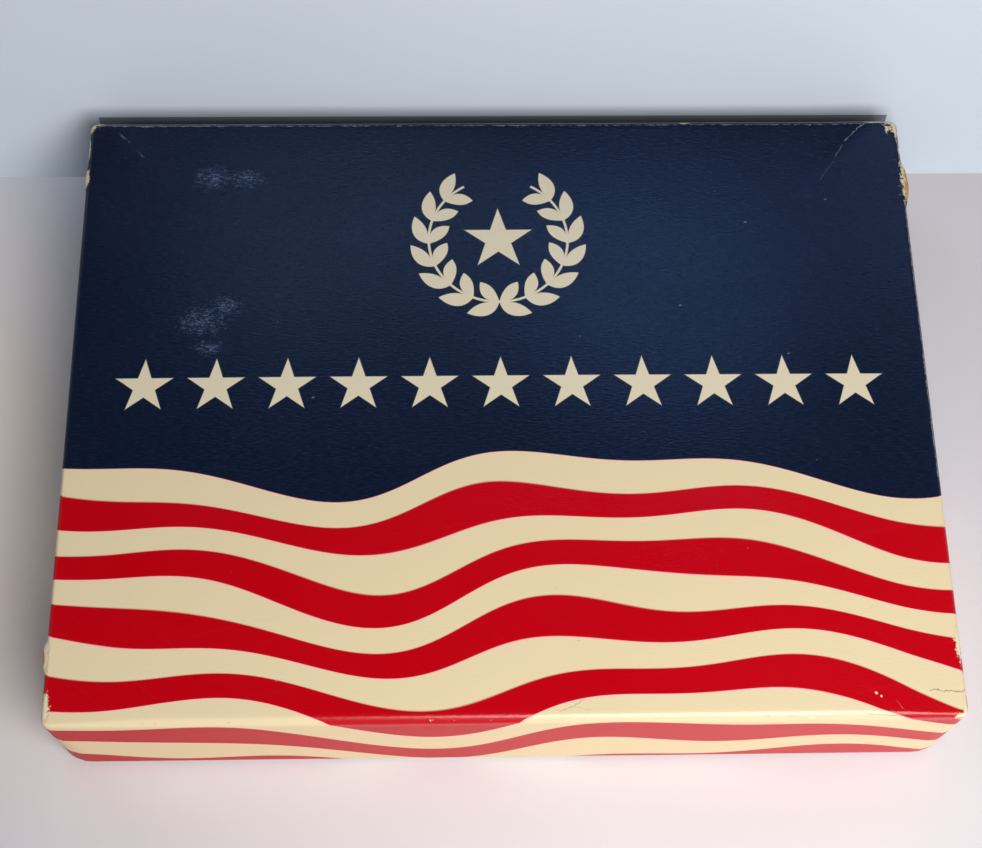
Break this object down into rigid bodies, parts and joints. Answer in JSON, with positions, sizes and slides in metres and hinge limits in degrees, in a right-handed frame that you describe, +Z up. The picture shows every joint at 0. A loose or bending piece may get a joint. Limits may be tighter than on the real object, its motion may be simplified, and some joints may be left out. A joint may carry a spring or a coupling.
{
  "type": "flag storage box",
  "caption": "Flat rigid set-up box with a lift-off printed paper lid over a paper-wrapped chipboard tray, holding a flag folded flat.",
  "frame": {"origin": "middle of the underside of the tray, on the surface that the closed box lies on", "axes": "+X along the long side, +Y from the front wall to the back wall, +Z up through the lid"},
  "size_m": [0.311, 0.235, 0.0445],
  "materials": {
    "printed_paper": "offset-printed and varnished, navy with cream and red",
    "plain_paper": "uncoated, aged off-white",
    "chipboard": "raw grey-brown board",
    "kraft_tape": "gummed kraft",
    "cotton_bunting": "woven cotton, navy union with white stars and red and white stripes",
    "heading_canvas": "white duck canvas",
    "eyelet_brass": "rolled brass, slightly tarnished"
  },
  "bodies": {
    "tray": {"tray_wrap": "plain_paper", "tray_board": "chipboard", "tray_corner_stays": "kraft_tape", "folded_flag": "cotton_bunting", "flag_heading": "heading_canvas", "heading_eyelets": "eyelet_brass", "eyelet_washers": "eyelet_brass"},
    "lid": {"lid_wrap": "printed_paper", "lid_board": "chipboard", "lid_corner_stays": "kraft_tape"}
  },
  "joints": [
    {"name": "lid_lift", "type": "slide", "parent": "tray", "child": "lid", "axis": [0, 0, 1], "range_m": [0, 0.12]}
  ]
}
